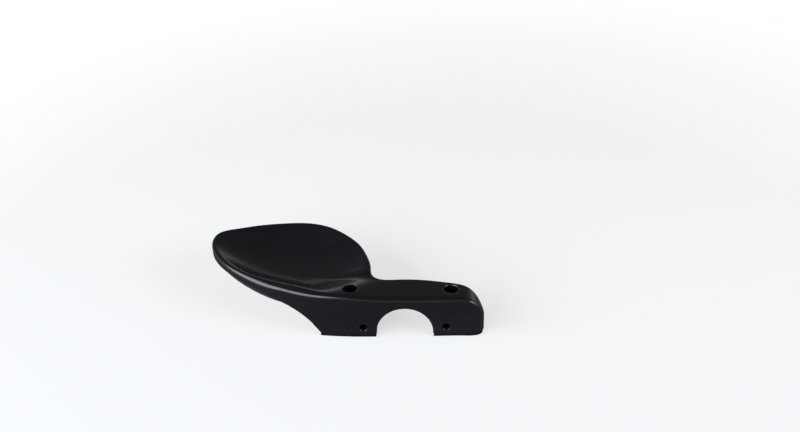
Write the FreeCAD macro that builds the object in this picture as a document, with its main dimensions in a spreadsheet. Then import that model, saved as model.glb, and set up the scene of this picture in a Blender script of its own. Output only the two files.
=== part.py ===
"""Side-mounted chin rest for a violin, screwed down through its bridge.

Frame, in millimetres: the origin is midway between the two fixing screws, on the
plane where the pads meet the instrument's top. +X runs across the instrument
towards the treble side, +Y towards the scroll and +Z away from the top. The chin
cup reaches out along -X and +Y; the bridge spans the tailpiece along X.
"""

import FreeCAD
import Part
import bisect
import math
import os

from FreeCAD import Placement, Rotation, Vector

DRIVING = [
    # The bridge, the part that stands on the instrument over the tailpiece.
    ("bridge_height", 20.4, "top of the bridge above the instrument"),
    ("bridge_front", 8.5, "front face, in front of the screw line"),
    ("bridge_back", 7.9, "back face, behind the screw line"),
    ("bridge_right", 37.7, "right end, from the origin"),
    ("end_drop", 9.5, "how far the top falls at the right end"),
    ("end_drop_length", 14.0, "length of that fall"),
    ("foot_left", 36.2, "where the sweep left of the foot starts, from the origin"),
    ("sweep_height", 21.0, "height that the sweep tends to"),
    ("sweep_length", 12.5, "length in which it gets most of the way"),
    ("back_sweep_length", 5.0, "the same length behind the foot"),
    # The arch that the tailpiece passes through.
    ("arch_offset", 1.65, "arch axis, to the right of the origin"),
    ("arch_radius", 12.8, "arch radius"),
    ("arch_spring", 2.3, "height of the arch's centre"),
    # The chin cup.
    ("cup_reach", 93.0, "tip of the cup, from the origin along -X"),
    ("cup_back", 56.0, "far rim, behind the screw line"),
    ("cup_side", 13.6, "right side of the cup, from the origin along -X"),
    ("rim_start", 12.0, "where the rim starts to rise, from the origin along -X"),
    ("rim_rise", 6.0, "height that the rise tends to"),
    ("rim_rise_length", 40.0, "length in which it gets most of the way"),
    ("rim_softness", 10.0, "length over which the rise sets in"),
    ("rim_wall", 4.6, "height of the rim's side"),
    ("dish_x", 52.0, "deepest point, from the origin along -X"),
    ("dish_y", 22.0, "deepest point, behind the screw line"),
    ("dish_depth", 8.5, "depth of the dish below the rim"),
    ("dish_power", 2.3, "fullness of the dish's section"),
    ("dish_softness", 0.8, "softness of the dish's edge along the rim"),
    ("ridge_round", 2.4, "softness of the ridge between the dish and the bridge"),
    ("ridge_reach", 7.0, "distance from the ridge in which that softness fades"),
    ("ridge_softness", 3.6, "softness of the corners of the dish's plan"),
    ("rim_width", 1.2, "width of the rim's crest"),
    ("near_rim_width", 4.6, "width of the rim's crest on the front's side"),
    ("belly_depth", 10.0, "fall of the underside from the rim's side to its middle"),
    ("belly_power", 7.0, "fullness of the underside's section"),
    ("belly_softness", 3.0, "softness of its join with the foot"),
    # The pads under the two feet.
    ("pad_thickness", 1.6, "thickness"),
    ("pad_inset", 0.3, "how far the pads stay inside the feet"),
    ("pad_corner", 3.0, "cut across the left pad's far corner"),
    # The fixing screws: M3 pan heads, each with a captive washer.
    ("screw_spacing", 45.8, "distance between the screws"),
    ("screw_length", 25.0, "length under the head"),
    ("thread_diameter", 3.0, "outside diameter of the thread"),
    ("neck_relief", 0.3, "how far the reduced shank lies below the thread"),
    ("neck_taper", 0.4, "length of the cone between the reduced shank and the thread"),
    ("tip_chamfer", 0.5, "chamfer of the screw's tip"),
    ("head_diameter", 5.6, "pan head"),
    ("head_height", 2.2, "pan head"),
    ("head_round", 0.9, "rounding of the pan head"),
    ("recess_span", 3.0, "cross recess, tip to tip"),
    ("recess_slot", 0.7, "cross recess, width of one arm"),
    ("recess_depth", 1.2, "cross recess"),
    ("washer_overhang", 0.2, "how far the captive washer reaches past the head"),
    ("washer_clearance", 0.15, "radial clearance of the washer on the reduced shank"),
    ("washer_thickness", 0.5, "captive washer"),
    # The holes in the body.
    ("counterbore_clearance", 0.3, "radial clearance of the counterbore round the washer"),
    ("seat_height", 11.6, "counterbore's floor above the instrument"),
    ("screw_clearance", 0.2, "radial clearance of the hole round the thread"),
    ("hook_spacing", 37.6, "distance between the two hook holes"),
    ("hook_height", 5.3, "height of their centres"),
    ("hook_radius", 1.7, "radius"),
    ("hook_depth", 6.0, "depth"),
]

REACH = 30.0  # how far the cutting solids reach past the body
STEP = 3.0  # spacing of the points that the curved surfaces pass through

doc = FreeCAD.newDocument("chin_rest")
sheet = doc.addObject("Spreadsheet::Sheet", "sizes")
for row, (alias, value, note) in enumerate(DRIVING, start=1):
    sheet.set(f"A{row}", alias)
    sheet.set(f"B{row}", str(value))
    sheet.set(f"C{row}", note)
    sheet.setAlias(f"B{row}", alias)
doc.recompute()


def size(alias):
    """The value of one driving dimension, in millimetres."""
    return float(sheet.get(alias))


def neck_radius():
    """The reduced shank, which the thread's crests stand above."""
    return size("thread_diameter") / 2 - size("neck_relief")


def washer_radius():
    """The captive washer, which shows all round the screw's head."""
    return size("head_diameter") / 2 + size("washer_overhang")


def softer_min(a, b, soft):
    return 0.5 * (a + b - math.hypot(a - b, soft))


def softer_max(a, b, soft):
    return 0.5 * (a + b + math.hypot(a - b, soft))


# ---------------------------------------------------------------- the plan outline


def outline_curve():
    """The outline in plan, one smooth closed curve.

    Its points run from the front's right end round the bridge's end, along its back,
    through the notch, and round the cup to the front. Those on the bridge are offsets
    from its faces, and those on the cup are fractions of the cup's length and depth.
    """
    front, back, right = -size("bridge_front"), size("bridge_back"), size("bridge_right")
    side, tip, far = -size("cup_side"), -size("cup_reach"), size("cup_back")
    long, deep = side - tip, far - back
    end = [(-9.0, 0), (-4.4, 0.1), (-1.2, 1.4), (0, 4.2), (-1.6, 7.3), (-8, 11.3), (-17.7, 14.1)]
    cup = [
        (0.000, 0.10), (-0.010, 0.22), (-0.038, 0.42), (-0.093, 0.63), (-0.180, 0.80),
        (-0.305, 0.95), (-0.445, 1.00), (-0.585, 0.98), (-0.735, 0.93), (-0.868, 0.86),
        (-0.980, 0.76), (-1.000, 0.63), (-0.985, 0.48), (-0.912, 0.26), (-0.799, 0.065),
        (-0.660, -0.11), (-0.535, -0.215), (-0.408, -0.276), (-0.257, -0.318),
    ]
    points = [(right + x, front + y) for x, y in end]
    points += [(right - 29.0, back - 0.2), (side + 10.6, back), (side + 3.9, back + 0.6)]
    points += [(side + u * long, back + v * deep) for u, v in cup]
    points += [(side - 0.09 * long, front + 0.1), (side + 0.12 * long, front), (right - 22, front)]
    curve = Part.BSplineCurve()
    curve.interpolate(Points=[Vector(x, y, 0) for x, y in points], PeriodicFlag=True)
    return curve.toShape()


CURVE = outline_curve()


class CupSpan:
    """How far a point lies from the dish's middle, 0, to the cup's edge, 1.

    The edge runs inside the outline by the rim's width, which is near_width on the
    front's side. On the bridge's side it is a straight ridge from notch to foot.
    """

    def __init__(self, near_width, notch, foot):
        self.middle = (-size("dish_x"), size("dish_y"))
        polar = []
        for point in CURVE.discretize(900):
            dx, dy = point.x - self.middle[0], point.y - self.middle[1]
            if point.x < 1 - size("cup_side"):
                angle = math.atan2(dy, dx)
                near = max(0.0, math.cos(angle + 1.3)) ** 1.5
                width = size("rim_width") + (near_width - size("rim_width")) * near
                polar.append((angle, math.hypot(dx, dy) - width))
        polar.sort()
        turn = 2 * math.pi
        polar = [(polar[-1][0] - turn, polar[-1][1])] + polar + [(polar[0][0] + turn, polar[0][1])]
        self.angles = [p[0] for p in polar]
        self.radii = [p[1] for p in polar]
        run, rise = notch[0] - foot[0], notch[1] - foot[1]
        self.normal = (rise / math.hypot(run, rise), -run / math.hypot(run, rise))
        self.reach = self.across(*notch)

    def across(self, x, y):
        """Distance from the dish's middle, square to the ridge."""
        dx, dy = x - self.middle[0], y - self.middle[1]
        return dx * self.normal[0] + dy * self.normal[1]

    def edge(self, angle):
        """Distance to the cup's edge in one direction."""
        at = bisect.bisect(self.angles, angle)
        a0, a1 = self.angles[at - 1], self.angles[at]
        r0, r1 = self.radii[at - 1], self.radii[at]
        outline = r0 + (r1 - r0) * (angle - a0) / (a1 - a0)
        facing = math.cos(angle) * self.normal[0] + math.sin(angle) * self.normal[1]
        return softer_min(outline, self.reach / max(facing, 0.2), size("ridge_softness"))

    def __call__(self, x, y):
        dx, dy = x - self.middle[0], y - self.middle[1]
        return math.hypot(dx, dy) / self.edge(math.atan2(dy, dx))


dish_span = CupSpan(
    size("near_rim_width"),
    (-size("cup_side") + 1.3, size("bridge_back") + 2.0),
    (-size("foot_left") + 6.9, -size("bridge_front") + 7.9),
)
belly_span = CupSpan(
    size("rim_width"),
    (-size("cup_side") - 0.9, size("bridge_back") + 4.1),
    (-size("foot_left") - 2.1, -size("bridge_front") + 1.5),
)


def rim_height(x):
    """Height of the rim: level on the bridge, rising towards the tip, falling at the end."""
    run = softer_max(0.0, -x - size("rim_start"), size("rim_softness"))
    height = size("bridge_height")
    height += size("rim_rise") * (1 - math.exp(-run / size("rim_rise_length")))
    past = min(x - size("bridge_right"), 1.0) + size("end_drop_length")
    return height - size("end_drop") * (max(past, 0.0) / size("end_drop_length")) ** 3.5


def top_height(x, y):
    """Height of the top: the rim's own height, scooped out by the dish."""
    rim = rim_height(x)
    dish = rim - size("dish_depth") * (1 - dish_span(x, y) ** size("dish_power"))
    away = (dish_span.across(x, y) - dish_span.reach) / size("ridge_reach")
    soft = size("dish_softness")
    soft += (size("ridge_round") - soft) * math.exp(-(away**2))
    return softer_min(rim, dish, soft)


def under_height(x, y):
    """Height of the underside: the belly, brought down to the foot by a sweep."""
    power, out = size("belly_power"), belly_span(x, y)
    fullness = out**power if out < 1 else 1 + power * (min(out, 1.5) - 1)
    belly = rim_height(min(x, 0.0)) - size("rim_wall") - size("belly_depth") * (1 - fullness)
    left = (-size("foot_left") - x) / size("sweep_length")
    behind = (y - size("bridge_back")) / size("back_sweep_length")
    away = max(softer_max(left, behind, 0.5), -0.35)
    sweep = size("sweep_height") * (1 - math.exp(-away))
    return softer_min(belly, sweep, size("belly_softness"))


# ---------------------------------------------------------------- the body's solids


def curved_solid(name, height, upwards):
    """A solid bounded by the surface height(x, y) and reaching past the body from it."""
    x0, x1 = -size("cup_reach") - 4, size("bridge_right") + 4
    y0, y1 = -size("bridge_front") - 4, size("cup_back") + 4
    columns, rows = round((x1 - x0) / STEP), round((y1 - y0) / STEP)
    grid = []
    for i in range(columns + 1):
        x = x0 + (x1 - x0) * i / columns
        ys = [y0 + (y1 - y0) * j / rows for j in range(rows + 1)]
        grid.append([Vector(x, y, height(x, y)) for y in ys])
    surface = Part.BSplineSurface()
    surface.interpolate(grid)
    solid = surface.toShape().extrude(Vector(0, 0, REACH if upwards else -REACH))
    return feature(name, solid)


def feature(name, shape, placement=None):
    """A plain shape as an object of the document."""
    item = doc.addObject("Part::Feature", name)
    item.Shape = shape
    if placement is not None:
        item.Placement = placement
    return item


def primitive(kind, name, placement=None, **sizes):
    """A primitive whose sizes are expressions over the sheet."""
    item = doc.addObject("Part::" + kind, name)
    for prop, expression in sizes.items():
        item.setExpression(prop, expression)
    if placement is not None:
        item.Placement = placement
    return item


def boolean(kind, name, base, tool):
    item = doc.addObject("Part::" + kind, name)
    item.Base, item.Tool = base, tool
    return item


def fuse(name, items):
    item = doc.addObject("Part::MultiFuse", name)
    item.Shapes = items
    return item


def extrusion(name, base, length):
    """The solid swept by a flat outline from its own plane upwards."""
    item = doc.addObject("Part::Extrusion", name)
    item.Base, item.DirMode, item.Solid = base, "Normal", True
    item.setExpression("LengthFwd", length)
    return item


def flat_face(wire):
    """A wire's inside as a face whose normal is +Z."""
    face = Part.Face(wire)
    if face.normalAt(0, 0).z < 0:
        face.reverse()
    return face


def along_y(x, y, z):
    """The placement of a cylinder whose axis runs along +Y from a point."""
    return Placement(Vector(x, y, z), Rotation(Vector(1, 0, 0), -90))


def bored_body():
    """The wooden body: the outline's prism between its curved surfaces, less its holes."""
    lift = Placement(Vector(0, 0, size("pad_thickness")), Rotation())
    outline = feature("outline", flat_face(Part.Wire([CURVE])), lift)
    block = extrusion("block", outline, "sizes.bridge_height + sizes.rim_rise")
    topped = boolean("Cut", "topped", block, curved_solid("above", top_height, True))
    carved = boolean("Cut", "carved", topped, curved_solid("below", under_height, False))
    front = -size("bridge_front") - 2
    middle, spring = size("arch_offset"), size("arch_spring")
    vault = primitive(
        "Cylinder", "vault", along_y(middle, front, spring),
        Radius="sizes.arch_radius", Height="sizes.bridge_front + sizes.bridge_back + 6",
    )
    legs = primitive(
        "Box", "legs", Placement(Vector(middle - size("arch_radius"), front, -1), Rotation()),
        Length="2 * sizes.arch_radius", Width="sizes.bridge_front + sizes.bridge_back + 6",
        Height="sizes.arch_spring + 1",
    )
    holes = [vault, legs]
    for side, sign in (("left", -1), ("right", 1)):
        centre = Vector(sign * size("screw_spacing") / 2, 0, 0)
        radius = "sizes.thread_diameter / 2 + sizes.screw_clearance"
        holes.append(
            primitive(
                "Cylinder", side + "_hole", Placement(centre, Rotation()),
                Radius=radius, Height="sizes.seat_height + 1",
            )
        )
        seat = Placement(centre + Vector(0, 0, size("seat_height")), Rotation())
        holes.append(
            primitive(
                "Cylinder", side + "_counterbore", seat,
                Radius="sizes.head_diameter / 2 + sizes.washer_overhang + sizes.counterbore_clearance",
                Height="sizes.bridge_height",
            )
        )
        hook = middle + sign * size("hook_spacing") / 2
        holes.append(
            primitive(
                "Cylinder", side + "_hook_hole", along_y(hook, front, size("hook_height")),
                Radius="sizes.hook_radius", Height="sizes.hook_depth + 2",
            )
        )
    return boolean("Cut", "chin_rest_body", carved, fuse("holes", holes))


def pad(side, x0, x1):
    """One pad: the foot's outline, a little inset, with a hole for the screw."""
    y0, y1 = -size("bridge_front") - 1, size("bridge_back") - size("pad_inset")
    cut = size("pad_corner") if side == "left" else 0.0
    corners = [(x0, y0), (x1, y0), (x1, y1), (x0 + cut, y1), (x0, y1 - cut), (x0, y0)]
    plan = Part.makePolygon([Vector(x, y, 0) for x, y in corners])
    foot = extrusion(side + "_foot", feature(side + "_plan", flat_face(plan)), "sizes.pad_thickness")
    wide = size("bridge_front") + size("bridge_back")
    inset = CURVE.copy().scale(1 - 2 * size("pad_inset") / wide, Vector((x0 + x1) / 2, 0, 0))
    inset = flat_face(Part.Wire([inset]))
    edge = extrusion(side + "_edge", feature(side + "_inset", inset), "sizes.pad_thickness")
    common = doc.addObject("Part::MultiCommon", side + "_sheet")
    common.Shapes = [foot, edge]
    sign = -1 if side == "left" else 1
    hole = primitive(
        "Cylinder", side + "_pad_hole",
        Placement(Vector(sign * size("screw_spacing") / 2, 0, -1), Rotation()),
        Radius="sizes.thread_diameter / 2 + sizes.screw_clearance",
        Height="sizes.pad_thickness + 2",
    )
    return boolean("Cut", side + "_pad", common, hole)


# ---------------------------------------------------------------- screws and washers


def turned(name, x, z, profile, recess=None):
    """A body turned about a vertical axis from its half profile of (radius, height).

    profile's corners are joined by straight lines. recess, if given, is the depth,
    span and slot width of a cross recess in the top at height 0.
    """
    body = doc.addObject("PartDesign::Body", name)
    plane = next(f for f in body.Origin.OriginFeatures if f.Role == "XZ_Plane")
    sketch = body.newObject("Sketcher::SketchObject", name + "_profile")
    sketch.AttachmentSupport = [(plane, "")]
    sketch.MapMode = "FlatFace"
    corners = [Vector(r, h, 0) for r, h in profile]
    for start, end in zip(corners, corners[1:] + corners[:1]):
        sketch.addGeometry(Part.LineSegment(start, end), False)
    turn = body.newObject("PartDesign::Revolution", name + "_turn")
    turn.Profile = sketch
    turn.ReferenceAxis = (sketch, ["V_Axis"])
    turn.Angle = 360
    if recess:
        depth, long, slot = recess
        floor = body.newObject("Sketcher::SketchObject", name + "_recess")
        base = next(f for f in body.Origin.OriginFeatures if f.Role == "XY_Plane")
        floor.AttachmentSupport = [(base, "")]
        floor.MapMode = "FlatFace"
        a, b = long / 2, slot / 2
        cross = [(a, b), (b, b), (b, a), (-b, a), (-b, b), (-a, b)]
        cross += [(-u, -v) for u, v in cross]
        cross = [Vector(u, v, 0) for u, v in cross]
        for start, end in zip(cross, cross[1:] + cross[:1]):
            floor.addGeometry(Part.LineSegment(start, end), False)
        pocket = body.newObject("PartDesign::Pocket", name + "_pocket")
        pocket.Profile = floor
        pocket.Length = depth
    body.Placement = Placement(Vector(x, 0, z), Rotation())
    return body


def screw(side, x):
    """A pan-head screw whose head stands on its washer; height 0 is the head's top.

    Its thread begins level with the pads' underside, where the instrument's top begins.
    """
    head, tall = size("head_diameter") / 2, size("head_height")
    thread, neck = size("thread_diameter") / 2, neck_radius()
    round_, tip = size("head_round"), size("tip_chamfer")
    under = -tall
    start = under - size("seat_height") - size("washer_thickness")
    profile = [(0, 0), (head - 2 * round_, 0)]
    for step in range(1, 6):
        angle = math.radians(18 * step)
        across, down = 2 * round_ * math.sin(angle), round_ * (1 - math.cos(angle))
        profile.append((head - 2 * round_ + across, -down))
    profile += [(head, under), (neck, under), (neck, start + size("neck_taper")), (thread, start)]
    end = under - size("screw_length")
    profile += [(thread, end + tip), (thread - tip, end), (0, end)]
    top = size("seat_height") + size("washer_thickness") + tall
    recess = (size("recess_depth"), size("recess_span"), size("recess_slot"))
    return turned(side + "_screw", x, top, profile, recess)


def washer(side, x):
    """The screw's captive washer, flat on the counterbore's floor; height 0 is its underside."""
    inner, outer = neck_radius() + size("washer_clearance"), washer_radius()
    thick = size("washer_thickness")
    profile = [(inner, 0), (outer, 0), (outer, thick), (inner, thick)]
    return turned(side + "_washer", x, size("seat_height"), profile)


# ---------------------------------------------------------------- build and export

gap = size("arch_radius") + size("pad_inset")
lift_off = -size("sweep_length") * math.log(1 - size("pad_thickness") / size("sweep_height"))
foot_end = -size("foot_left") - lift_off
left_pad = (foot_end + size("pad_inset"), size("arch_offset") - gap)
right_pad = (size("arch_offset") + gap, size("bridge_right"))
nodes = [bored_body(), pad("left", *left_pad), pad("right", *right_pad)]
for side, sign in (("left", -1), ("right", 1)):
    nodes.append(screw(side, sign * size("screw_spacing") / 2))
    nodes.append(washer(side, sign * size("screw_spacing") / 2))
doc.recompute()

for item in doc.Objects:
    if "Invalid" in item.State or "Error" in item.State:
        raise RuntimeError(f"{item.Name} did not recompute: {item.State}")
os.makedirs("parts", exist_ok=True)
for node in nodes:
    if not node.Shape.isValid() or len(node.Shape.Solids) != 1:
        raise RuntimeError(f"{node.Name} is not one valid solid")
    node.Shape.exportStep(f"parts/{node.Name}.step")
    print(node.Name, round(node.Shape.Volume, 1), "mm3")
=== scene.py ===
"""A violin's over-the-tailpiece chin rest: black wood body, two pads and two fixing screws.

Everything is in metres in the frame of the CAD model: the origin lies midway between
the screws on the plane under the pads, +X across the instrument, +Y towards its scroll
and +Z up. Sizes written in millimetres are turned into metres by the factor MM.
"""

import math

import bmesh
import bpy
import numpy as np
from mathutils import Matrix, Vector


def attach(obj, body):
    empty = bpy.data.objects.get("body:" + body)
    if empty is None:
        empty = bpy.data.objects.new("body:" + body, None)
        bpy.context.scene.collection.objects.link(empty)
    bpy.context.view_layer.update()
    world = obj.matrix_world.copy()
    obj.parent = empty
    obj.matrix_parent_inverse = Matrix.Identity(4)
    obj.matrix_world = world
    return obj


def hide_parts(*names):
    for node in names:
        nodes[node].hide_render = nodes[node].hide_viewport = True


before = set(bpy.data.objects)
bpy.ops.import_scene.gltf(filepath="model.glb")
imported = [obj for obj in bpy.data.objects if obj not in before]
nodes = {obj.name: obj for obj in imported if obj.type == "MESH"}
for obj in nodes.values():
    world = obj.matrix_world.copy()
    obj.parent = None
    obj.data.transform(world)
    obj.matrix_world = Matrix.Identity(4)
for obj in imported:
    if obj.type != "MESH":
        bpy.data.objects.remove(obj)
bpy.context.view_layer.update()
MM = 0.001

# ---------------------------------------------------------------------------
# The body. One piece of black wood, sawn to its outline, carved above into a
# dish for the jaw and below into a belly, then arched over the tailpiece,
# drilled and polished. It stands on the instrument's top on two feet.
# ---------------------------------------------------------------------------

BRIDGE_TOP = 20.4
FRONT, BACK, RIGHT = -8.5, 7.9, 37.7
CUP_SIDE, CUP_TIP, CUP_FAR = -13.6, -93.0, 56.0
PAD = 1.6
RIM_WALL = 4.6
DISH_MIDDLE = np.array([-52.0, 22.0])
DISH_DEPTH = 8.5
ARCH_MIDDLE, ARCH_RADIUS, ARCH_SPRING = 1.65, 12.8, 2.3
SCREW_OFF, SHANK_HOLE = 22.9, 1.7
SEAT, SEAT_RADIUS = 11.6, 3.3
HOOK_OFF, HOOK_HEIGHT, HOOK_RADIUS, HOOK_DEPTH = 18.8, 5.3, 1.7, 6.0


def closed_spline(points, at):
    """A smooth closed curve through points, at parameters from 0 to 1.

    Each stretch is a cubic in the length along the chords, and the cubics' second
    derivatives are solved so that slope and curvature carry on through every point.
    """
    points = np.asarray(points, float)
    step = np.linalg.norm(np.roll(points, -1, 0) - points, axis=1)
    count = len(points)
    before = np.roll(step, 1)
    system = np.zeros((count, count))
    here = np.arange(count)
    system[here, here] = 2 * (before + step)
    system[here, here - 1] += before
    system[here, (here + 1) % count] += step
    slope = (np.roll(points, -1, 0) - points) / step[:, None]
    bend = np.linalg.solve(system, 6 * (slope - np.roll(slope, 1, 0)))
    starts = np.concatenate([[0.0], np.cumsum(step)])
    run = np.mod(at, 1.0) * starts[-1]
    leg = np.clip(np.searchsorted(starts, run, side="right") - 1, 0, count - 1)
    after = (leg + 1) % count
    long = step[leg][:, None]
    a = (starts[leg + 1] - run)[:, None] / long
    b = 1 - a
    curve = a * points[leg] + b * points[after]
    return curve + ((a**3 - a) * bend[leg] + (b**3 - b) * bend[after]) * long**2 / 6


def plan_outline(at):
    """The body's outline seen from above, in mm, at parameters from 0 to 1."""
    long, deep = CUP_SIDE - CUP_TIP, CUP_FAR - BACK
    end = np.array(
        [(-9.0, 0), (-4.4, 0.1), (-1.2, 1.4), (0, 4.2), (-1.6, 7.3), (-8, 11.3), (-17.7, 14.1)]
    )
    cup = np.array(
        [
            (0.000, 0.10), (-0.010, 0.22), (-0.038, 0.42), (-0.093, 0.63), (-0.180, 0.80),
            (-0.305, 0.95), (-0.445, 1.00), (-0.585, 0.98), (-0.735, 0.93), (-0.868, 0.86),
            (-0.980, 0.76), (-1.000, 0.63), (-0.985, 0.48), (-0.912, 0.26), (-0.799, 0.065),
            (-0.660, -0.11), (-0.535, -0.215), (-0.408, -0.276), (-0.257, -0.318),
        ]
    )
    points = np.vstack(
        [
            end + [RIGHT, FRONT],
            [(RIGHT - 29.0, BACK - 0.2), (CUP_SIDE + 10.6, BACK), (CUP_SIDE + 3.9, BACK + 0.6)],
            cup * [long, deep] + [CUP_SIDE, BACK],
            [(CUP_SIDE - 0.09 * long, FRONT + 0.1), (CUP_SIDE + 0.12 * long, FRONT)],
            [(RIGHT - 22, FRONT)],
        ]
    )
    return closed_spline(points, at)


def softer_min(a, b, soft):
    """The smaller of a and b, with the corner between them rounded over about soft."""
    return 0.5 * (a + b - np.hypot(a - b, soft))


def softer_max(a, b, soft):
    """The larger of a and b, with the corner between them rounded over about soft."""
    return 0.5 * (a + b + np.hypot(a - b, soft))


dense = plan_outline(np.linspace(0, 1, 4000, endpoint=False))
cup_part = dense[dense[:, 0] < CUP_SIDE + 1]
cup_turn = np.arctan2(*(cup_part - DISH_MIDDLE).T[::-1])
cup_order = np.argsort(cup_turn)
cup_turn = cup_turn[cup_order]
cup_radius = np.linalg.norm(cup_part - DISH_MIDDLE, axis=1)[cup_order]


def cup_span(x, y, near_width, ridge_start, ridge_end):
    """How far points lie from the dish's middle, 0, to the cup's edge, 1.

    The edge is the outline less the rim's width, with a straight ridge on the bridge's
    side. Also returned is the distance past that ridge.
    """
    dx, dy = x - DISH_MIDDLE[0], y - DISH_MIDDLE[1]
    turn = np.arctan2(dy, dx)
    near_turn, near_spread, far_width, ridge_softness = -1.3, 1.5, 1.2, 3.6
    near = np.maximum(0.0, np.cos(turn - near_turn)) ** near_spread
    edge = np.interp(turn, cup_turn, cup_radius, period=2 * math.pi)
    edge = edge - far_width - (near_width - far_width) * near
    out_x, out_y = ridge_start[1] - ridge_end[1], ridge_end[0] - ridge_start[0]
    long = math.hypot(out_x, out_y)
    out_x, out_y = out_x / long, out_y / long
    reach = (ridge_start[0] - DISH_MIDDLE[0]) * out_x + (ridge_start[1] - DISH_MIDDLE[1]) * out_y
    facing = np.cos(turn) * out_x + np.sin(turn) * out_y
    edge = softer_min(edge, reach / np.maximum(facing, 0.2), ridge_softness)
    return np.hypot(dx, dy) / edge, dx * out_x + dy * out_y - reach


def rim_height(x):
    """Level on the bridge, rising towards the cup's tip and falling at the right end."""
    rise, rise_start, rise_softness, rise_length = 6.0, -12.0, 10.0, 40.0
    drop, drop_length, drop_power = 9.5, 14.0, 3.5
    lift = rise * (1 - np.exp(-softer_max(0.0, rise_start - x, rise_softness) / rise_length))
    past = np.clip(x - RIGHT + drop_length, 0, drop_length + 1) / drop_length
    return BRIDGE_TOP + lift - drop * past**drop_power


def top_height(x, y):
    """The rim's height, scooped out by the dish, whose depth falls as a power of span."""
    rim = rim_height(x)
    span, past_ridge = cup_span(
        x, y, near_width=4.6, ridge_start=(-12.3, 9.9), ridge_end=(-29.3, -0.6)
    )
    rim_soft, ridge_soft, ridge_reach, bowl_power = 0.8, 1.6, 7.0, 2.3
    soft = rim_soft + ridge_soft * np.exp(-((past_ridge / ridge_reach) ** 2))
    return softer_min(rim, rim - DISH_DEPTH * (1 - span**bowl_power), soft)


def under_height(x, y):
    """The belly's height, brought down to the left foot by an exponential sweep."""
    out = cup_span(x, y, near_width=1.2, ridge_start=(-14.5, 12.0), ridge_end=(-38.3, -7.0))[0]
    belly_power, belly_depth = 7, 10.0
    foot_left, sweep_length, back_length, sweep_rise = -36.2, 12.5, 5.0, 21.0
    fullness = np.where(out < 1, out**belly_power, 1 + belly_power * (np.minimum(out, 1.5) - 1))
    belly = rim_height(np.minimum(x, 0)) - RIM_WALL - belly_depth * (1 - fullness)
    away = softer_max((foot_left - x) / sweep_length, (y - BACK) / back_length, 0.5)
    sweep = sweep_rise * (1 - np.exp(-np.maximum(away, -0.35)))
    return softer_max(softer_min(belly, sweep, 3.0), PAD, 0.35)


def ring_stations(side_count, cap_count):
    """Parameters round the outline, and for each the point of the spine it faces.

    The spine runs along the middle of the body. Stations on the two long sides face
    each other in pairs across it, and those round the two ends face its end points.
    """
    knots = np.array(
        [(-80, 31.5), (-70, 30), (-52, 24), (-34, 13.5), (-20, 4.5), (-6, -0.3), (12, -1), (31, -3.4)]
    )
    run = np.concatenate([[0], np.cumsum(np.linalg.norm(np.diff(knots, axis=0), axis=1))])
    fine = np.linspace(0, run[-1], 1200)
    spine = np.stack([np.interp(fine, run, knots[:, 0]), np.interp(fine, run, knots[:, 1])], 1)
    kernel = np.hanning(161) / np.hanning(161).sum()
    ends = np.pad(spine, ((80, 80), (0, 0)), mode="reflect", reflect_type="odd")
    spine = np.stack([np.convolve(ends[:, i], kernel, "valid") for i in (0, 1)], 1)
    at = np.linspace(0, 1, 4000, endpoint=False)
    curve = plan_outline(at)
    gaps = np.linalg.norm(curve[:, None, :] - spine[None, :, :], axis=2)
    facing = gaps.argmin(axis=1) / (len(spine) - 1.0)
    first_right = np.flatnonzero(facing >= 1)
    at = np.roll(at, -first_right[len(first_right) // 2])
    facing = np.roll(facing, -first_right[len(first_right) // 2])
    at = np.where(at < at[0], at + 1, at)
    right_end, tip = np.flatnonzero(facing >= 1), np.flatnonzero(facing <= 0)
    half = len(at) // 2
    leave, back_in = right_end[right_end < half].max(), right_end[right_end > half].min()
    far, near = slice(leave, tip.min() + 1), slice(tip.max(), back_in + 1)
    even = np.linspace(0, 1, side_count + 2)[1:-1]
    far_at = np.interp(even, facing[far][::-1], at[far][::-1])[::-1]
    near_at = np.interp(even, facing[near], at[near])
    tip_at = np.linspace(at[tip.min()], at[tip.max()], cap_count)
    end_at = np.linspace(at[back_in], at[leave] + 1, cap_count)
    stations = np.concatenate([end_at, far_at + 1, tip_at + 1, near_at + 1])
    spots = np.concatenate([np.ones(cap_count), even[::-1], np.zeros(cap_count), even])
    spine_at = np.linspace(0, 1, len(spine))
    middle = np.stack([np.interp(spots, spine_at, spine[:, i]) for i in (0, 1)], 1)
    return stations, middle


def grid_mesh(name, rings):
    """A mesh from rings of points, each joined to the next, closed round each ring."""
    rows, count = rings.shape[:2]
    index = np.arange(rows * count).reshape(rows, count)
    a, b = index[:-1], index[1:]
    faces = np.stack([a, np.roll(a, -1, 1), np.roll(b, -1, 1), b], -1).reshape(-1, 4)
    mesh = bpy.data.meshes.new(name)
    mesh.from_pydata(rings.reshape(-1, 3).tolist(), [], faces.tolist())
    solid = bmesh.new()
    solid.from_mesh(mesh)
    bmesh.ops.remove_doubles(solid, verts=solid.verts, dist=1e-7)
    bmesh.ops.dissolve_degenerate(solid, edges=solid.edges, dist=1e-8)
    bmesh.ops.recalc_face_normals(solid, faces=solid.faces)
    if solid.calc_volume(signed=True) < 0:
        bmesh.ops.reverse_faces(solid, faces=solid.faces)
    solid.to_mesh(mesh)
    solid.free()
    mesh.validate()
    return mesh


def piece(name, mesh):
    """An object for a mesh, shaded smooth."""
    obj = bpy.data.objects.new(name, mesh)
    bpy.context.scene.collection.objects.link(obj)
    mesh.shade_smooth()
    return obj


def finish(obj, mesh_name, sharp, material):
    """Names a piece's mesh, shades it smooth up to an angle in degrees, and dresses it."""
    obj.data.name = mesh_name
    obj.data.shade_smooth()
    obj.data.set_sharp_from_angle(angle=math.radians(sharp))
    obj.data.materials.clear()
    obj.data.materials.append(material)


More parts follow.
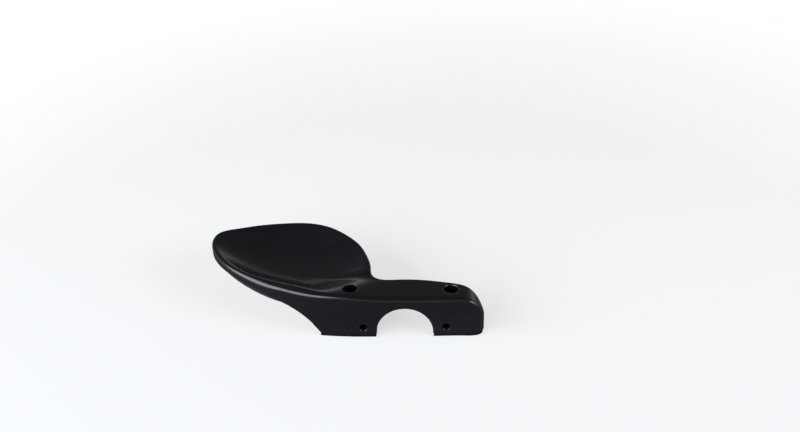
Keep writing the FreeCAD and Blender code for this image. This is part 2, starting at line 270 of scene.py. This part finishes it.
def edge_rounding(x, y):
    """Radius of the top edge's rounding: fullest along the front and the cup's near rim."""
    front = 1 / (1 + np.exp((y + 3.0) / 1.2))
    tip = 1 / (1 + np.exp((x + 52.0) / 4.0)) / (1 + np.exp((y - 28) / 4.0))
    bridge = 1 / (1 + np.exp((-38.0 - x) / 5.0))
    right = 1 / (1 + np.exp((24.0 - x) / 4.0))
    return 0.8 + 2.6 * np.maximum(front, tip) * (1 - 0.5 * bridge - 0.25 * right)


def body_shell():
    """The body before its holes, as rings from the top's spine out, down and back in."""
    stations, middle = ring_stations(230, 60)
    out = plan_outline(stations)
    ahead, behind = plan_outline(stations + 1e-5), plan_outline(stations - 1e-5)
    way = (ahead - behind) / np.linalg.norm(ahead - behind, axis=1)[:, None]
    normal = np.stack([way[:, 1], -way[:, 0]], 1)
    top_round = edge_rounding(out[:, 0], out[:, 1])
    low_edge = under_height(out[:, 0], out[:, 1])
    under_round = np.where(low_edge > 6, 0.9, 0.5)
    turns = np.radians(np.linspace(90, 0, 9))
    rings = []
    inner = out - normal * (top_round + 0.5)[:, None]
    for along in np.sin(np.linspace(0, math.pi / 2, 34))[:-1]:
        flat = middle + (inner - middle) * along
        rings.append(np.column_stack([flat, top_height(flat[:, 0], flat[:, 1])]))
    for turn in turns:
        flat = out - normal * (top_round * (1 - math.cos(turn)))[:, None]
        drop = top_round * (1 - math.sin(turn))
        rings.append(np.column_stack([flat, top_height(flat[:, 0], flat[:, 1]) - drop]))
    wall_top, wall_foot = rings[-1][:, 2], low_edge + under_round
    for down in np.linspace(0, 1, 14)[1:]:
        rings.append(np.column_stack([out, wall_top + (wall_foot - wall_top) * down]))
    for turn in np.radians(np.linspace(0, 90, 6))[1:]:
        flat = out - normal * (under_round * (1 - math.cos(turn)))[:, None]
        lift = under_round * (1 - math.sin(turn))
        rings.append(np.column_stack([flat, under_height(flat[:, 0], flat[:, 1]) + lift]))
    inner = out - normal * (under_round + 0.5)[:, None]
    for along in np.sin(np.linspace(math.pi / 2, 0, 56)):
        flat = middle + (inner - middle) * along
        rings.append(np.column_stack([flat, under_height(flat[:, 0], flat[:, 1])]))
    return grid_mesh("chin_rest_body_shell", np.array(rings) * MM)


def turned_mesh(name, profile, origin, axis, sides=72):
    """A solid turned about an axis: each ring is the profile's radius at its height."""
    profile = np.asarray(profile, float)
    angle = np.linspace(0, 2 * math.pi, sides, endpoint=False)
    u, v = {"y": ([1, 0, 0], [0, 0, 1]), "z": ([1, 0, 0], [0, 1, 0])}[axis]
    along = np.array({"y": [0, 1, 0], "z": [0, 0, 1]}[axis], float)
    spoke = np.cos(angle)[:, None] * np.array(u) + np.sin(angle)[:, None] * np.array(v)
    rings = profile[:, 0, None, None] * spoke + profile[:, 1, None, None] * along + origin
    return grid_mesh(name, rings * MM)


def cutter_profile(radius, low, high, mouth, flare):
    """A hole's profile from its floor to past its mouth, where its edge is rounded off."""
    turn = np.radians(np.linspace(0, 90, 7))
    round_r = radius + flare * (1 - np.cos(turn))
    round_h = mouth - flare + flare * np.sin(turn)
    lip = np.column_stack([round_r, round_h])
    return np.vstack([[(0, low), (radius, low)], lip, [(radius + flare, high), (0, high)]])


def cut(obj, mesh):
    """Takes a closed mesh out of an object and leaves the result in its mesh."""
    tool = bpy.data.objects.new("tool", mesh)
    bpy.context.scene.collection.objects.link(tool)
    step = obj.modifiers.new("cut", "BOOLEAN")
    step.operation, step.solver, step.object = "DIFFERENCE", "MANIFOLD", tool
    bpy.context.view_layer.update()
    done = bpy.data.meshes.new_from_object(obj.evaluated_get(bpy.context.evaluated_depsgraph_get()))
    obj.modifiers.clear()
    obj.data = done
    bpy.data.objects.remove(tool)


def arch_mesh():
    """The tailpiece's tunnel: half a circle on straight legs, flared at both faces.

    The flare is a quarter round that widens from the crown down to the feet.
    """
    flare = 0.7
    turn = np.radians(np.linspace(0, 180, 73))
    round_x, round_z = np.cos(turn), np.sin(turn)
    below = -3.0 - ARCH_SPRING
    x = np.concatenate([[1.0], round_x, [-1.0]])
    z = np.concatenate([[below], round_z, [below]])
    swell = np.concatenate([[0.0], round_z, [0.0]])
    rings = []
    ease = np.radians(np.linspace(0, 90, 6))
    near = [(FRONT + flare - flare * math.sin(a), flare * (1 - math.cos(a))) for a in ease]
    far_edge = BACK - 0.4
    far = [(far_edge - flare + flare * math.sin(a), flare * (1 - math.cos(a))) for a in ease]
    stops = [(FRONT - 3, flare)] + near[::-1] + far + [(far_edge + 4, flare)]
    for y, more in stops:
        wide = ARCH_RADIUS + more * (1.9 - 0.9 * swell)
        high = np.where(swell > 0, ARCH_SPRING + (ARCH_RADIUS + more) * z, z + ARCH_SPRING)
        rings.append(np.column_stack([ARCH_MIDDLE + wide * x, np.full_like(x, y), high]))
    first, last = rings[0].mean(0), rings[-1].mean(0)
    rings = [np.broadcast_to(first, rings[0].shape)] + rings + [np.broadcast_to(last, rings[0].shape)]
    return grid_mesh("arch", np.array(rings) * MM)


body = piece("body", body_shell())
cut(body, arch_mesh())
for side in (-1, 1):
    screw_axis = np.array([side * SCREW_OFF, 0, 0])
    hook_axis = [ARCH_MIDDLE + side * HOOK_OFF, 0, HOOK_HEIGHT]
    deck = top_height(screw_axis[:1], screw_axis[1:2])[0]
    bore = [(0, -1), (SHANK_HOLE, -1), (SHANK_HOLE, SEAT + 0.9), (0, SEAT + 0.9)]
    cut(body, turned_mesh("bore", bore, screw_axis, "z"))
    seat = cutter_profile(SEAT_RADIUS, low=SEAT, high=30, mouth=deck, flare=1.0)
    cut(body, turned_mesh("seat", seat, screw_axis, "z"))
    hook = cutter_profile(HOOK_RADIUS, low=-FRONT - HOOK_DEPTH, high=12, mouth=-FRONT, flare=0.4)
    cut(body, turned_mesh("hook", hook * [1, -1], hook_axis, "y", 40))
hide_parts("chin_rest_body")
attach(body, "rest")


def set_range(ramp, low, high, to_low, to_high):
    """Makes a Map Range node carry low..high to to_low..to_high."""
    names = ("From Min", "From Max", "To Min", "To Max")
    for name, number in zip(names, (low, high, to_low, to_high)):
        ramp.inputs[name].default_value = number


def wood_figure():
    """A node group for fine straight-grained wood that runs along X.

    Out come a colour, a roughness and a height: long thin pores and slow streaks, both
    noises drawn out along the grain, and a broad cloud of handling over the polish.
    """
    group = bpy.data.node_groups.new("wood_figure", "ShaderNodeTree")
    face = group.interface
    for name, kind, value in (
        ("Dark", "NodeSocketColor", (0.01, 0.01, 0.01, 1)),
        ("Light", "NodeSocketColor", (0.02, 0.02, 0.02, 1)),
        ("Polish", "NodeSocketFloat", 0.3),
    ):
        face.new_socket(name, in_out="INPUT", socket_type=kind).default_value = value
    face.new_socket("Color", in_out="OUTPUT", socket_type="NodeSocketColor")
    face.new_socket("Roughness", in_out="OUTPUT", socket_type="NodeSocketFloat")
    face.new_socket("Height", in_out="OUTPUT", socket_type="NodeSocketFloat")
    add, join = group.nodes.new, group.links.new
    inside, outside = add("NodeGroupInput"), add("NodeGroupOutput")
    where = add("ShaderNodeTexCoord")

    def drawn_noise(scale, stretch, detail):
        place = add("ShaderNodeMapping")
        place.inputs["Scale"].default_value = stretch
        noise = add("ShaderNodeTexNoise")
        noise.inputs["Scale"].default_value = scale
        noise.inputs["Detail"].default_value = detail
        join(where.outputs["Object"], place.inputs["Vector"])
        join(place.outputs["Vector"], noise.inputs["Vector"])
        return noise.outputs["Fac"]

    def spread(value, low, high, to_low, to_high):
        ramp = add("ShaderNodeMapRange")
        ramp.interpolation_type = "SMOOTHSTEP"
        set_range(ramp, low, high, to_low, to_high)
        join(value, ramp.inputs["Value"])
        return ramp.outputs["Result"]

    def work(kind, a, b):
        node = add("ShaderNodeMath")
        node.operation = kind
        for socket, value in zip(node.inputs, (a, b)):
            if isinstance(value, float):
                socket.default_value = value
            else:
                join(value, socket)
        return node.outputs[0]

    streak = spread(drawn_noise(60, (0.16, 1, 1), 4), 0.35, 0.68, 0.0, 1.0)
    pore = spread(drawn_noise(900, (0.06, 1, 1), 2), 0.62, 0.72, 0.0, 1.0)
    cloud = spread(drawn_noise(28, (1, 1, 1), 3), 0.35, 0.7, 0.0, 1.0)
    mix = add("ShaderNodeMix")
    mix.data_type = "RGBA"
    join(streak, mix.inputs["Factor"])
    join(inside.outputs["Dark"], mix.inputs[6])
    join(inside.outputs["Light"], mix.inputs[7])
    join(mix.outputs[2], outside.inputs["Color"])
    dull = work("ADD", work("MULTIPLY", cloud, 0.05), work("MULTIPLY", pore, 0.10))
    join(work("ADD", inside.outputs["Polish"], dull), outside.inputs["Roughness"])
    join(work("SUBTRACT", work("MULTIPLY", streak, 0.25), pore), outside.inputs["Height"])
    return group


def black_wood():
    """Wood dyed black, rubbed with oil and polished to a soft shine."""
    material = bpy.data.materials.new("black_wood")
    material.use_nodes = True
    tree = material.node_tree
    shader = tree.nodes["Principled BSDF"]
    figure = tree.nodes.new("ShaderNodeGroup")
    figure.node_tree = wood_figure()
    figure.inputs["Dark"].default_value = (0.0036, 0.0025, 0.0043, 1)
    figure.inputs["Light"].default_value = (0.0068, 0.0047, 0.0076, 1)
    figure.inputs["Polish"].default_value = 0.21
    bump = tree.nodes.new("ShaderNodeBump")
    bump.inputs["Strength"].default_value = 0.10
    bump.inputs["Distance"].default_value = 0.00004
    tree.links.new(figure.outputs["Color"], shader.inputs["Base Color"])
    tree.links.new(figure.outputs["Roughness"], shader.inputs["Roughness"])
    tree.links.new(figure.outputs["Height"], bump.inputs["Height"])
    tree.links.new(bump.outputs["Normal"], shader.inputs["Normal"])
    shader.inputs["IOR"].default_value = 1.56
    return material


finish(body, "chin_rest_body_wood", 38, black_wood())

# ---------------------------------------------------------------------------
# The pads. Two thin sheets of black cork and rubber, cut to the feet and glued
# under them, which keep the wood off the varnish.
# ---------------------------------------------------------------------------


def pad_sheet():
    """Cork crumbs bound in black rubber: cells of slightly different greys, with dull pits."""
    material = bpy.data.materials.new("pad_sheet")
    material.use_nodes = True
    tree = material.node_tree
    add, join = tree.nodes.new, tree.links.new
    shader = tree.nodes["Principled BSDF"]
    where = add("ShaderNodeTexCoord")
    crumbs, shade = add("ShaderNodeTexVoronoi"), add("ShaderNodeTexNoise")
    crumbs.inputs["Scale"].default_value = 1400
    shade.inputs["Scale"].default_value = 350
    shade.inputs["Detail"].default_value = 4
    join(where.outputs["Object"], crumbs.inputs["Vector"])
    join(where.outputs["Object"], shade.inputs["Vector"])
    colours = add("ShaderNodeValToRGB")
    dark, pale = colours.color_ramp.elements
    dark.position, pale.position = 0.30, 0.72
    dark.color, pale.color = (0.0015, 0.0015, 0.0017, 1), (0.0065, 0.0060, 0.0058, 1)
    join(shade.outputs["Fac"], colours.inputs["Fac"])
    join(colours.outputs["Color"], shader.inputs["Base Color"])
    dull = add("ShaderNodeMapRange")
    dull.inputs["To Min"].default_value, dull.inputs["To Max"].default_value = 0.72, 0.92
    shader.inputs["IOR"].default_value = 1.3
    join(shade.outputs["Fac"], dull.inputs["Value"])
    join(dull.outputs["Result"], shader.inputs["Roughness"])
    bump = add("ShaderNodeBump")
    bump.inputs["Strength"].default_value = 0.5
    bump.inputs["Distance"].default_value = 0.00006
    join(crumbs.outputs["Distance"], bump.inputs["Height"])
    join(bump.outputs["Normal"], shader.inputs["Normal"])
    return material


sheet = pad_sheet()
for side in ("left", "right"):
    nodes[side + "_pad"].data.materials.clear()
    nodes[side + "_pad"].data.materials.append(sheet)

# ---------------------------------------------------------------------------
# The fixing screws. Two M3 machine screws of blackened steel, turned and rolled,
# with pan heads, cross recesses and a reduced shank above the thread. They go
# down through the bridge into inserts in the instrument's top.
# ---------------------------------------------------------------------------

WASHER = 0.5
HEAD_RADIUS, HEAD_HEIGHT, HEAD_ROUND = 2.8, 2.2, 0.9
THREAD_RADIUS, NECK_RADIUS, TAPER = 1.5, 1.2, 0.4
SCREW_TIP = SEAT + WASHER - 25.0
THREAD_PITCH, THREAD_DEPTH, THREAD_RINGS = 0.5, 0.27, 260
POINT, EDGE_BREAK, SCREW_SIDES = 0.5, 0.08, 48


def screw_mesh(name, x):
    """A machine screw as rings from the middle of its head down to its tip.

    On the thread a ring's radius is r(z, a) = crest - depth * t(z / pitch - a / turn),
    where t is a wave that runs 0, 1, 0 in straight flanks between short flats.
    """
    angle = np.linspace(0, 2 * math.pi, SCREW_SIDES, endpoint=False)

    def ring(radius, z):
        return np.column_stack([radius * np.cos(angle), radius * np.sin(angle), np.full(SCREW_SIDES, z)])

    top = SEAT + WASHER + HEAD_HEIGHT
    turn = np.radians(np.linspace(0, 90, 12))
    crown = np.column_stack(
        [
            HEAD_RADIUS - 2 * HEAD_ROUND + 2 * HEAD_ROUND * np.sin(turn),
            top - HEAD_ROUND * (1 - np.cos(turn)),
        ]
    )
    under = top - HEAD_HEIGHT
    head = [(0.0, top), (0.5, top), *crown]
    head += [(HEAD_RADIUS, under + EDGE_BREAK), (HEAD_RADIUS - EDGE_BREAK, under)]
    head += [(NECK_RADIUS, under), (NECK_RADIUS, TAPER), (THREAD_RADIUS - THREAD_DEPTH, 0.15)]
    rings = [ring(radius, z) for radius, z in head]
    for z in np.linspace(0.0, SCREW_TIP + POINT, THREAD_RINGS):
        phase = np.mod(z / THREAD_PITCH - angle / (2 * math.pi), 1.0)
        wave = np.clip((np.abs(phase - 0.5) * 2 - 0.12) / 0.76, 0, 1)
        ends = min(1.0, -z / 0.5, (z - SCREW_TIP - POINT) / 0.7)
        crest = THREAD_RADIUS - THREAD_DEPTH * (1 - max(ends, 0.0))
        rings.append(ring(np.minimum(crest, THREAD_RADIUS - THREAD_DEPTH * wave), z))
    rings += [ring(THREAD_RADIUS - POINT, SCREW_TIP), ring(0.0, SCREW_TIP)]
    return grid_mesh(name, (np.array(rings) + [x, 0, 0]) * MM)


def recess_mesh(x):
    """The cross recess: four tapering arms that meet in a shallow cone."""
    reach, half, deep, foot_share = 1.5, 0.35, 1.2, 0.62
    corners = [(reach, half), (half, half), (half, reach)]
    cross = []
    for quarter in range(4):
        c, s = math.cos(quarter * math.pi / 2), math.sin(quarter * math.pi / 2)
        cross += [(c * u - s * v, s * u + c * v) for u, v in corners]
    cross = np.array(cross)
    top = SEAT + WASHER + HEAD_HEIGHT
    stops = [(0.0, top + 1), (1.0, top + 1), (1.0, top)]
    stops += [(foot_share, top - deep), (0.0, top - deep - 0.2)]
    rings = []
    for share, z in stops:
        rings.append(np.column_stack([cross * share, np.full(len(cross), z)]) + [x, 0, 0])
    return grid_mesh("recess", np.array(rings) * MM)


def metal_figure():
    """A node group for turned steel: fine rings of tool marks under worn, cloudy patches."""
    group = bpy.data.node_groups.new("metal_figure", "ShaderNodeTree")
    for name, kind, value in (
        ("Clean", "NodeSocketColor", (0.1, 0.1, 0.1, 1)),
        ("Worn", "NodeSocketColor", (0.4, 0.4, 0.4, 1)),
        ("Polish", "NodeSocketFloat", 0.3),
    ):
        socket = group.interface.new_socket(name, in_out="INPUT", socket_type=kind)
        socket.default_value = value
    group.interface.new_socket("Color", in_out="OUTPUT", socket_type="NodeSocketColor")
    group.interface.new_socket("Roughness", in_out="OUTPUT", socket_type="NodeSocketFloat")
    group.interface.new_socket("Height", in_out="OUTPUT", socket_type="NodeSocketFloat")
    add, join = group.nodes.new, group.links.new
    inside, outside = add("NodeGroupInput"), add("NodeGroupOutput")
    where, stretch = add("ShaderNodeTexCoord"), add("ShaderNodeMapping")
    stretch.inputs["Scale"].default_value = (0.2, 0.2, 1.0)
    join(where.outputs["Object"], stretch.inputs["Vector"])
    marks, patches = add("ShaderNodeTexNoise"), add("ShaderNodeTexNoise")
    marks.inputs["Scale"].default_value = 9000
    patches.inputs["Scale"].default_value = 700
    patches.inputs["Detail"].default_value = 5
    join(stretch.outputs["Vector"], marks.inputs["Vector"])
    join(where.outputs["Object"], patches.inputs["Vector"])
    worn = add("ShaderNodeMapRange")
    worn.interpolation_type = "SMOOTHSTEP"
    worn.inputs["From Min"].default_value, worn.inputs["From Max"].default_value = 0.52, 0.74
    join(patches.outputs["Fac"], worn.inputs["Value"])
    mix = add("ShaderNodeMix")
    mix.data_type = "RGBA"
    join(worn.outputs["Result"], mix.inputs["Factor"])
    join(inside.outputs["Clean"], mix.inputs[6])
    join(inside.outputs["Worn"], mix.inputs[7])
    join(mix.outputs[2], outside.inputs["Color"])
    rough, total = add("ShaderNodeMath"), add("ShaderNodeMath")
    rough.operation = "MULTIPLY"
    rough.inputs[1].default_value = 0.14
    join(patches.outputs["Fac"], rough.inputs[0])
    join(inside.outputs["Polish"], total.inputs[0])
    join(rough.outputs[0], total.inputs[1])
    join(total.outputs[0], outside.inputs["Roughness"])
    join(marks.outputs["Fac"], outside.inputs["Height"])
    return group


def turned_steel(name, figure, clean, worn, polish):
    """Steel with the figure group's marks, clean in one colour and worn in another."""
    material = bpy.data.materials.new(name)
    material.use_nodes = True
    tree = material.node_tree
    shader = tree.nodes["Principled BSDF"]
    shader.inputs["Metallic"].default_value = 1.0
    group = tree.nodes.new("ShaderNodeGroup")
    group.node_tree = figure
    group.inputs["Clean"].default_value = (*clean, 1)
    group.inputs["Worn"].default_value = (*worn, 1)
    group.inputs["Polish"].default_value = polish
    bump = tree.nodes.new("ShaderNodeBump")
    bump.inputs["Strength"].default_value = 0.25
    bump.inputs["Distance"].default_value = 0.00001
    tree.links.new(group.outputs["Color"], shader.inputs["Base Color"])
    tree.links.new(group.outputs["Roughness"], shader.inputs["Roughness"])
    tree.links.new(group.outputs["Height"], bump.inputs["Height"])
    tree.links.new(bump.outputs["Normal"], shader.inputs["Normal"])
    return material


figure = metal_figure()
black_steel = turned_steel(
    "blackened_steel", figure, clean=(0.035, 0.035, 0.038), worn=(0.11, 0.105, 0.10), polish=0.34
)
for side, x in (("left", -SCREW_OFF), ("right", SCREW_OFF)):
    screw = piece(side + "_screw_visual", screw_mesh(side + "_screw_steel", x))
    cut(screw, recess_mesh(x))
    finish(screw, side + "_screw_steel", 40, black_steel)
    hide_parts(side + "_screw")
    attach(screw, side + "_turning")

# ---------------------------------------------------------------------------
# The washers. Two stamped steel rings, captive on the screws' reduced shanks,
# that spread the heads' load over the counterbores' floors.
# ---------------------------------------------------------------------------


def washer_profile(inner, outer, low, high, soft):
    """A ring's section, gone round once, with quarter rounds on the punched upper edges."""
    turn = np.radians(np.linspace(0, 90, 5))
    outer_top = [(outer - soft + soft * math.cos(a), high - soft + soft * math.sin(a)) for a in turn]
    inner_top = [(inner + soft - soft * math.sin(a), high - soft + soft * math.cos(a)) for a in turn]
    return [(inner, low), (outer, low), *outer_top, *inner_top, (inner, low)]


plain_steel = turned_steel(
    "washer_steel", figure, clean=(0.40, 0.40, 0.41), worn=(0.26, 0.25, 0.24), polish=0.28
)
section = washer_profile(inner=1.35, outer=3.0, low=SEAT, high=SEAT + WASHER, soft=0.12)
for side, x in (("left", -SCREW_OFF), ("right", SCREW_OFF)):
    ring = turned_mesh(side + "_washer_steel", section, [x, 0, 0], "z")
    washer = piece(side + "_washer_visual", ring)
    finish(washer, side + "_washer_steel", 40, plain_steel)
    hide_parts(side + "_washer")
    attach(washer, side + "_fixing")

# ---------------------------------------------------------------------------
# The camera, the floor and the lights. A plain pale table and soft lamps.
# ---------------------------------------------------------------------------

eye = bpy.data.objects.new("camera", bpy.data.cameras.new("camera"))
bpy.context.scene.collection.objects.link(eye)
bpy.context.scene.camera = eye
eye.data.sensor_width = 36.0
eye.data.lens = 38.31
eye.data.shift_y = -0.0071
dip, yaw, roll = 28.97, -1.87, -1.77
look = np.array(
    [
        math.sin(math.radians(yaw)) * math.cos(math.radians(dip)),
        math.cos(math.radians(yaw)) * math.cos(math.radians(dip)),
        -math.sin(math.radians(dip)),
    ]
)
across = np.array([math.cos(math.radians(yaw)), -math.sin(math.radians(yaw)), 0])
upward = np.cross(across, look)
c, s = math.cos(math.radians(roll)), math.sin(math.radians(roll))
turned_across, turned_up = c * across + s * upward, -s * across + c * upward
matrix = np.eye(4)
matrix[:3, 0], matrix[:3, 1], matrix[:3, 2] = turned_across, turned_up, -look
eye_place = np.array([11.3, -319.8, 238.3])
matrix[:3, 3] = eye_place * MM
eye.matrix_world = Matrix(matrix.tolist())

view = bpy.context.scene.view_settings
view.view_transform = "Standard"


def table_top(grey, in_gloss, glow):
    """A matt table: grey to the camera and to light, in_gloss in reflections.

    A glow lifts it to white where the camera sees it, and grows away from the middle.
    """
    material = bpy.data.materials.new("table")
    material.use_nodes = True
    tree = material.node_tree
    shader = tree.nodes["Principled BSDF"]
    shader.inputs["Roughness"].default_value = 0.9
    shader.inputs["Emission Color"].default_value = (1, 1, 1, 1)
    path = tree.nodes.new("ShaderNodeLightPath")
    colour = tree.nodes.new("ShaderNodeMix")
    colour.data_type = "RGBA"
    colour.inputs[6].default_value = (grey, grey, grey, 1)
    colour.inputs[7].default_value = (in_gloss, in_gloss, in_gloss, 1)
    tree.links.new(path.outputs["Is Glossy Ray"], colour.inputs["Factor"])
    tree.links.new(colour.outputs[2], shader.inputs["Base Color"])
    where, far = tree.nodes.new("ShaderNodeTexCoord"), tree.nodes.new("ShaderNodeVectorMath")
    far.operation = "LENGTH"
    tree.links.new(where.outputs["Object"], far.inputs[0])
    grow = tree.nodes.new("ShaderNodeMapRange")
    set_range(grow, 0.25, 0.9, glow, 1.0)
    tree.links.new(far.outputs["Value"], grow.inputs["Value"])
    scale = tree.nodes.new("ShaderNodeMath")
    scale.operation = "MULTIPLY"
    tree.links.new(path.outputs["Is Camera Ray"], scale.inputs[0])
    tree.links.new(grow.outputs["Result"], scale.inputs[1])
    tree.links.new(scale.outputs[0], shader.inputs["Emission Strength"])
    return material


def studio_world():
    """White where the camera sees it; for light and gloss, pale low down and dim above."""
    world = bpy.data.worlds.new("studio")
    world.use_nodes = True
    tree = world.node_tree
    add, join = tree.nodes.new, tree.links.new
    back = tree.nodes["Background"]
    where, split = add("ShaderNodeTexCoord"), add("ShaderNodeSeparateXYZ")
    join(where.outputs["Generated"], split.inputs["Vector"])
    fade = add("ShaderNodeMapRange")
    fade.interpolation_type = "SMOOTHSTEP"
    set_range(fade, 0.05, 0.40, 0.7, 0.11)
    join(split.outputs["Z"], fade.inputs["Value"])
    path = add("ShaderNodeLightPath")
    mix = add("ShaderNodeMix")
    mix.data_type = "FLOAT"
    join(path.outputs["Is Camera Ray"], mix.inputs["Factor"])
    join(fade.outputs["Result"], mix.inputs[2])
    mix.inputs[3].default_value = 1.0
    join(mix.outputs[0], back.inputs["Strength"])
    back.inputs["Color"].default_value = (1, 1, 1, 1)
    return world


LAMP_COLOUR = (0.86, 0.93, 1.0)


def soft_lamp(name, place, wide, tall, watts):
    """A rectangular area lamp of cool daylight, facing the origin."""
    lamp = bpy.data.objects.new(name, bpy.data.lights.new(name, "AREA"))
    lamp.data.shape = "RECTANGLE"
    lamp.data.size, lamp.data.size_y = wide, tall
    lamp.data.energy = watts
    lamp.data.color = LAMP_COLOUR
    bpy.context.scene.collection.objects.link(lamp)
    lamp.location = place
    toward = -Vector(place)
    lamp.rotation_euler = toward.to_track_quat("-Z", "Y").to_euler()


bpy.context.scene.world = studio_world()
soft_lamp("left_box", (-0.94, -0.64, 0.45), wide=1.8, tall=0.8, watts=26.0)
soft_lamp("right_box", (1.0, -0.42, 0.55), wide=0.6, tall=0.5, watts=8.0)

reach = 3.0
floor = bpy.data.objects.new("floor", bpy.data.meshes.new("floor"))
floor.data.from_pydata(
    [(-reach, -reach, 0), (reach, -reach, 0), (reach, reach, 0), (-reach, reach, 0)],
    [], [(0, 1, 2, 3)],
)
floor.data.materials.append(table_top(grey=0.38, in_gloss=0.20, glow=0.62))
bpy.context.scene.collection.objects.link(floor)
